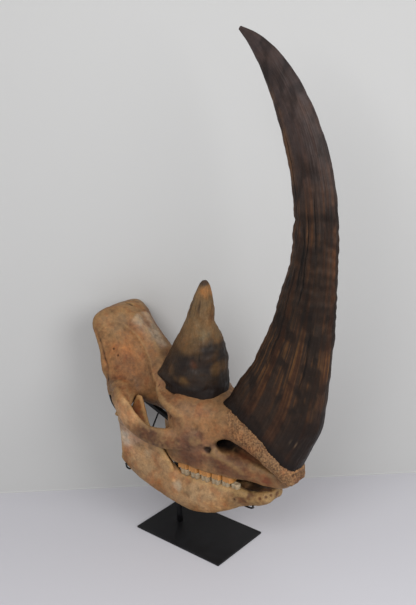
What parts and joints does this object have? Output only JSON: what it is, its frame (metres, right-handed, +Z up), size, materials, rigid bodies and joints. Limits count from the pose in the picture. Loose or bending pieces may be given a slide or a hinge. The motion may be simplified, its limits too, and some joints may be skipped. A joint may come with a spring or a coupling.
{
  "type": "woolly rhinoceros skull",
  "caption": "Woolly rhinoceros skull with lower jaw, cheek teeth, a tall curved nose horn and a short forehead horn, held by a black steel post on a flat base plate.",
  "frame": {"origin": "middle of the base plate's underside", "axes": "+X towards the nose, along the plate's long side; +Y the animal's left; +Z up"},
  "size_m": [0.7713, 0.3337, 1.4299],
  "materials": {
    "skull_bone": "dry brown bone",
    "jaw_bone": "dry tan bone",
    "horn": "dark fibrous horn",
    "upper_enamel": "stained enamel",
    "lower_enamel": "pale enamel",
    "black_steel": "satin black"
  },
  "bodies": {
    "root": {"cranium": "skull_bone", "mandible": "jaw_bone", "front_horn": "horn", "rear_horn": "horn", "base_plate": "black_steel", "stand_frame": "black_steel", "upper_p3_right": "upper_enamel", "upper_p4_right": "upper_enamel", "upper_m1_right": "upper_enamel", "upper_m2_right": "upper_enamel", "upper_m3_right": "upper_enamel", "lower_p2_right": "lower_enamel", "lower_p3_right": "lower_enamel", "lower_p4_right": "lower_enamel", "lower_m1_right": "lower_enamel", "lower_m2_right": "lower_enamel", "lower_m3_right": "lower_enamel", "upper_p3_left": "upper_enamel", "upper_p4_left": "upper_enamel", "upper_m1_left": "upper_enamel", "upper_m2_left": "upper_enamel", "upper_m3_left": "upper_enamel", "lower_p2_left": "lower_enamel", "lower_p3_left": "lower_enamel", "lower_p4_left": "lower_enamel", "lower_m1_left": "lower_enamel", "lower_m2_left": "lower_enamel", "lower_m3_left": "lower_enamel"}
  },
  "joints": []
}
